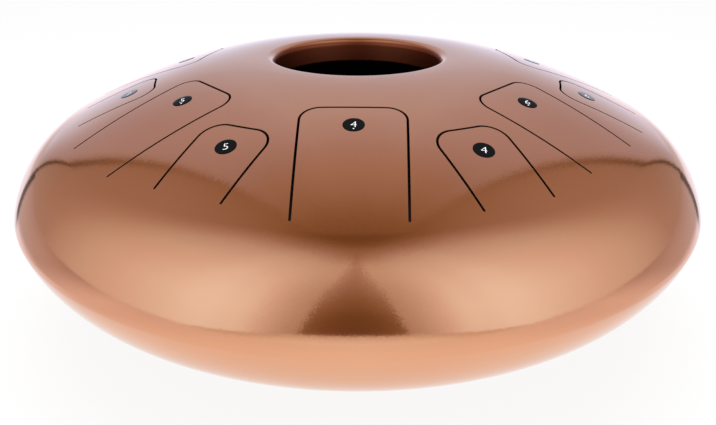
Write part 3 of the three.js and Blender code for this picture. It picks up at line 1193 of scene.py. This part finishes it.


# The floor: a white table. Only the metal sees the painted shade on it: its dimmer sides, its dark end and
# the seam's dark line.

floorForm = {
    "size": 30.0,
    "colour": (0.9, 0.9, 0.9),
    "roughness": 0.9,
    "shown": 0.9,  # share of plain white in what camera and metal see
    # painted shade by degrees round from the camera's side: dimmer and warmer at the sides
    "round": [
        (0, (0.985, 0.975, 0.965)), (30, (0.95, 0.9, 0.87)), (45, (0.89, 0.83, 0.83)),
        (60, (0.83, 0.76, 0.77)), (78, (0.85, 0.79, 0.82)), (92, (0.92, 0.86, 0.93)),
        (105, (0.96, 0.89, 1.0)), (118, (0.98, 0.94, 1.06)), (132, (1.0, 0.98, 1.1)),
        (150, (1.05, 1.03, 1.18)), (180, (1.05, 1.03, 1.18)),
    ],
    "tinted": (0.165, 0.235),  # the painted shade comes in over these distances from the drum's axis
    "end": (0.31, 0.43),  # and so does the table's end at the sides
    "endRound": (68.0, 92.0),
    "beyond": (0.5, 0.4, 0.395),
    # painted shade: behind the seam the floor is darker further off
    "back": (0.6, 1.2),
    "backDim": 0.75,
    "backRound": (6.0, 22.0),
    # the seam's painted dark line on the floor, which leans with the distance
    "seamLean": 9.3,
    "seamEdge": 1.0,
    "seamWidth": (1.3, 2.6),
    "seamFrom": (0.28, 0.4),
    "seamColour": (0.03, 0.015, 0.015),
}


def floorMaterial():
    form = floorForm
    material, tree = newMaterial("paleFloor")
    path = place(tree, "ShaderNodeLightPath")
    glossy = path.outputs["Is Glossy Ray"]
    seen = calculate(tree, "MAXIMUM", path.outputs["Is Camera Ray"], glossy)
    seen = calculate(tree, "MAXIMUM", seen, path.outputs["Is Transmission Ray"])
    where = objectPlace(tree)
    turned, _ = roundAndUp(tree, where, tentForm["turn"])
    distance = vectorNode(tree, "LENGTH", where)

    # degrees past the seam
    lean = calculate(tree, "DIVIDE", form["seamLean"], distance)
    past = calculate(tree, "SUBTRACT", calculate(tree, "ADD", turned, lean), tentForm["seam"])
    edge = form["seamEdge"]
    sides = product(tree, stepNode(tree, distance, *form["end"]), stepNode(tree, turned, *form["endRound"]))
    sides = product(tree, sides, stepNode(tree, past, -edge, edge, 1.0, 0.0))
    back = stepNode(tree, distance, *form["back"], 0.0, form["backDim"])
    back = product(tree, back, stepNode(tree, past, *form["backRound"], 1.0, 0.0))
    back = product(tree, back, stepNode(tree, past, -edge, edge))
    beyond = product(tree, calculate(tree, "ADD", sides, back), glossy)
    # what the metal sees of the floor: painted shade at the sides, past the table's end, behind the seam
    # and along the seam's line
    stops = [(degrees / 180, colour) for degrees, colour in form["round"]]
    tint = rampNode(tree, calculate(tree, "DIVIDE", turned, 180.0), stops)
    away = product(tree, stepNode(tree, distance, *form["tinted"]), glossy)
    line = stepNode(tree, calculate(tree, "ABSOLUTE", past), *form["seamWidth"], 1.0, 0.0)
    line = product(tree, line, stepNode(tree, distance, *form["seamFrom"]), glossy)
    colour = mixColours(tree, away, (1, 1, 1), tint)
    colour = mixColours(tree, beyond, colour, form["beyond"])
    colour = mixColours(tree, line, colour, form["seamColour"])

    cloth = {"Base Color": (*form["colour"], 1), "Roughness": form["roughness"]}
    cloth = place(tree, "ShaderNodeBsdfPrincipled", cloth).outputs[0]
    white = place(tree, "ShaderNodeEmission", {"Color": colour, "Strength": 1.0}).outputs[0]
    addShader(tree, "ShaderNodeMixShader", {0: product(tree, seen, form["shown"]), 1: cloth, 2: white})
    return material


def makeFloor():
    half = floorForm["size"] / 2
    corners = [(-half, -half, 0), (half, -half, 0), (half, half, 0), (-half, half, 0)]
    mesh = bpy.data.meshes.new("floor")
    mesh.from_pydata(corners, [], [(0, 1, 2, 3)])
    mesh.materials.append(floorMaterial())
    linked(bpy.data.objects.new("floor", mesh))


lightForm = {"power": 26.0, "size": 1.4, "height": 1.6, "world": (1, 1, 1, 1), "worldStrength": 1.0}


def makeLight():
    # one soft lamp overhead, which the metal doesn't mirror, and a plain white world
    lamp = bpy.data.lights.new("softLamp", "AREA")
    lamp.shape = "DISK"
    lamp.size = lightForm["size"]
    lamp.energy = lightForm["power"]
    lampObject = linked(bpy.data.objects.new("softLamp", lamp))
    lampObject.location = (0, 0, lightForm["height"])
    lampObject.visible_glossy = False
    lampObject.visible_camera = False
    world = bpy.data.worlds.new("studioWorld")
    bpy.context.scene.world = world
    world.use_nodes = True
    background = world.node_tree.nodes["Background"]
    background.inputs["Color"].default_value = lightForm["world"]
    background.inputs["Strength"].default_value = lightForm["worldStrength"]


cameraForm = {
    "distance": 0.3951,  # from the middle of the rim's plane
    "elevation": 21.11,
    "azimuth": 1.13,  # towards +X
    "down": 24.85,  # the optical axis under the horizontal
    "yaw": 0.03,
    "lens": 34.974,
    "sensor": 36,
    "clip": (0.01, 100),
}


def makeCamera():
    data = bpy.data.cameras.new("camera")
    data.lens = cameraForm["lens"]
    data.sensor_width = cameraForm["sensor"]
    data.clip_start, data.clip_end = cameraForm["clip"]
    camera = linked(bpy.data.objects.new("camera", data))
    elevation, azimuth = math.radians(cameraForm["elevation"]), math.radians(cameraForm["azimuth"])
    flat = cameraForm["distance"] * math.cos(elevation)
    height = equator + cameraForm["distance"] * math.sin(elevation)
    camera.location = (flat * math.sin(azimuth), -flat * math.cos(azimuth), height)
    camera.rotation_mode = "XYZ"
    turn = math.radians(cameraForm["azimuth"] - cameraForm["yaw"])
    camera.rotation_euler = (math.radians(90 - cameraForm["down"]), 0, turn)
    bpy.context.scene.camera = camera


# Putting it together

lacquer = lacquerMaterial()
inside = insideMaterial()
vinyl = vinylMaterial()
printInk = plainMaterial("whitePrint", printFinish)
rubber = plainMaterial("blackRubber", rubberFinish)
slotShadeMaterial = plainMaterial("burntEdge", slotShadeFinish)
print("finishes made")

plans = tonguePlans()
makeTopShell(plans, [lacquer, inside, slotShadeMaterial])
makeBottomShell([lacquer, inside])
makeRimWeld(lacquer)
print("shells made")

for plan in plans:
    makeTongue(plan, [lacquer, inside, slotShadeMaterial])
    axes = labelAxes(plan)
    makeLabel(plan, axes, vinyl)
    makeNumber(plan, axes, printInk)
print("tongues and labels made:", len(plans))

for node in sorted(frame["nodes"]):
    if node.startswith("foot"):
        makeFoot(node, rubber)
print("feet made")

makeFloor()
makeTent()
makeLight()
makeCamera()
bpy.context.scene.view_settings.view_transform = "Standard"
print("studio made")
